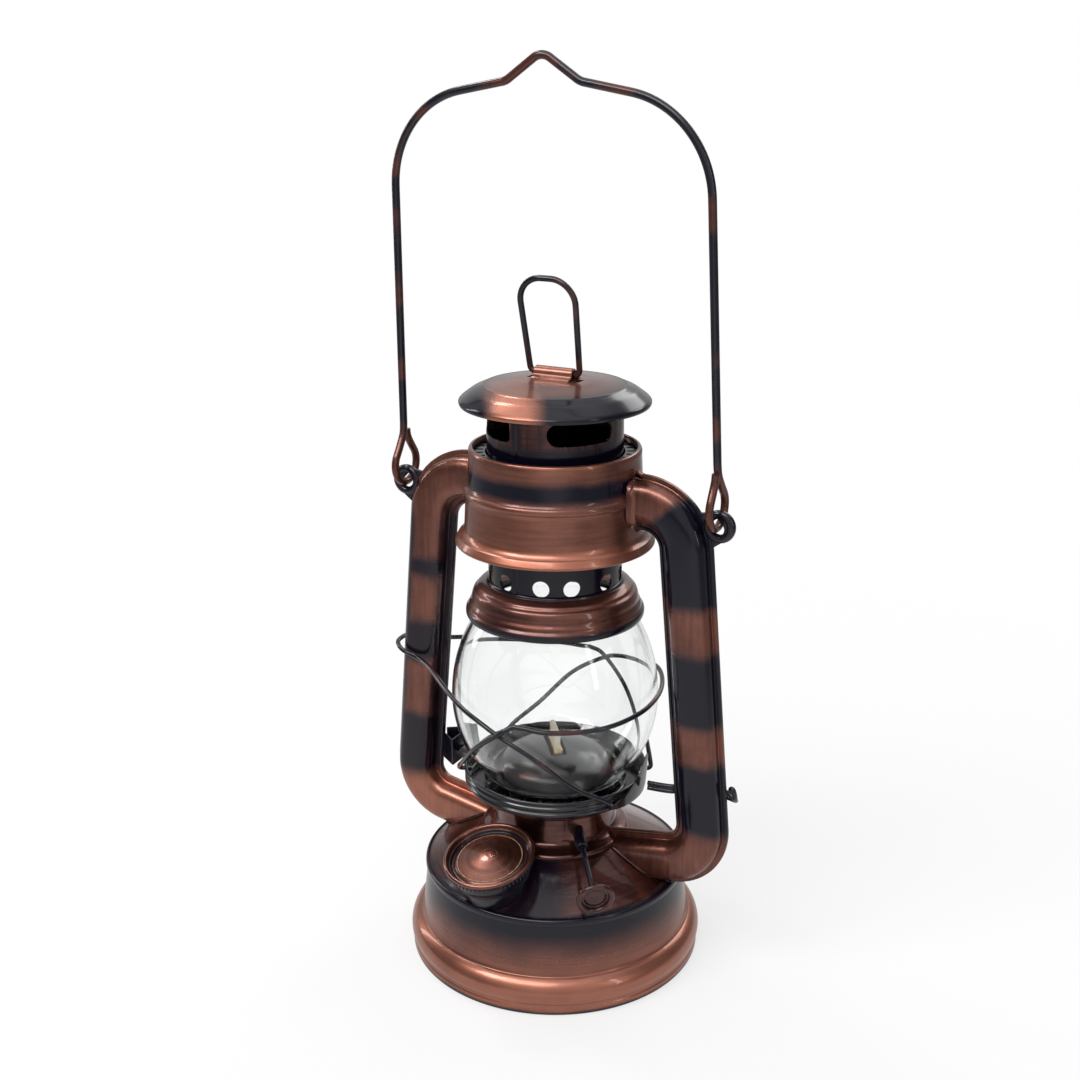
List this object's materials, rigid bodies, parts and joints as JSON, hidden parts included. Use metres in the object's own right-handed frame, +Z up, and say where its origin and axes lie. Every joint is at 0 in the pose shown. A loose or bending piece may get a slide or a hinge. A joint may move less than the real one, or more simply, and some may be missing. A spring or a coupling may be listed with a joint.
{
  "type": "hurricane lantern",
  "caption": "Small tubular kerosene hurricane lantern with lifting globe, sliding chimney, wick winder, screw filler cap and wire bail, in copper and black lacquer.",
  "frame": {"origin": "middle of the foot circle, on the table", "axes": "+Z up along the lantern's axis; +X towards the air tube with the globe lever; -Y towards the filler cap, the front"},
  "size_m": [0.1066, 0.0843, 0.2443],
  "materials": {
    "copper": "metallic copper lacquer, gloss",
    "copper_dark": "copper lacquer with soft black sprayed bands, gloss",
    "black_lacquer": "black gloss lacquer",
    "black_wire": "black gloss lacquer on wire",
    "brass": "plain brass",
    "steel": "plain steel",
    "cork": "raw cork",
    "cotton": "woven cotton tape",
    "glass": "clear"
  },
  "bodies": {
    "lamp_frame": {"tank_floor": "copper", "tank_shell": "copper", "tank_top": "copper_dark", "filler_neck": "black_lacquer", "air_chamber": "copper", "tube_right_front": "copper_dark", "tube_right_back": "copper_dark", "tube_left_front": "copper_dark", "tube_left_back": "copper_dark", "hood": "copper", "hood_top": "copper_dark", "ear_right": "black_lacquer", "ear_left": "black_lacquer", "burner_base": "brass", "wick_tube": "brass", "burner_dome": "copper_dark", "shaft_sleeve": "black_lacquer"},
    "cap_gasket": {"filler_gasket": "cork"},
    "filler_cap": {"filler_cap": "copper_dark"},
    "globe_carriage": {"globe": "glass", "globe_plate": "copper_dark", "guide_lug": "black_lacquer", "stop_fin": "black_lacquer", "guard_wire_right": "black_wire", "guard_wire_left": "black_wire", "lift_lever": "black_wire"},
    "chimney": {"chimney_tube": "copper_dark", "chimney_bell": "copper", "chimney_cap": "copper_dark"},
    "lifting_ring": {"lifting_ring": "black_wire"},
    "bail": {"bail": "black_wire"},
    "wick": {"wick": "cotton"},
    "wick_winder": {"winder_shaft": "steel", "spur_wheels": "steel", "wick_knob": "copper_dark"}
  },
  "joints": [
    {"name": "globe_lift", "type": "slide", "parent": "lamp_frame", "child": "globe_carriage", "axis": [0, 0, 1], "range_m": [0, 0.008]},
    {"name": "chimney_lift", "type": "slide", "parent": "globe_carriage", "child": "chimney", "axis": [0, 0, 1], "range_m": [0, 0.009]},
    {"name": "ring_fold", "type": "hinge", "parent": "chimney", "child": "lifting_ring", "pos_m": [0, 0, 0.1654], "axis": [1, 0, 0], "range_deg": [-102, 78]},
    {"name": "bail_swing", "type": "hinge", "parent": "lamp_frame", "child": "bail", "pos_m": [0, 0, 0.1354], "axis": [1, 0, 0], "range_deg": [-125, 125]},
    {"name": "filler_cap_rise", "type": "slide", "parent": "lamp_frame", "child": "cap_gasket", "axis": [-0.0315, -0.2569, 0.9659], "range_m": [0, 0.00313]},
    {"name": "filler_cap_turn", "type": "hinge", "parent": "cap_gasket", "child": "filler_cap", "pos_m": [-0.00379, -0.03087, 0.04], "axis": [-0.0315, -0.2569, 0.9659], "range_deg": [0, 450]},
    {"name": "wick_rise", "type": "slide", "parent": "lamp_frame", "child": "wick", "axis": [0, 0, 1], "range_m": [-0.0059, 0.004]},
    {"name": "knob_turn", "type": "hinge", "parent": "lamp_frame", "child": "wick_winder", "pos_m": [0.00258, 0.00203, 0.0459], "axis": [0.5973, -0.7591, -0.2588], "range_deg": [-95, 140]}
  ],
  "couplings": [
    {"joint": "filler_cap_turn", "follows": "filler_cap_rise", "rad_per_m": 2513.3},
    {"joint": "knob_turn", "follows": "wick_rise", "rad_per_m": -414.11}
  ]
}
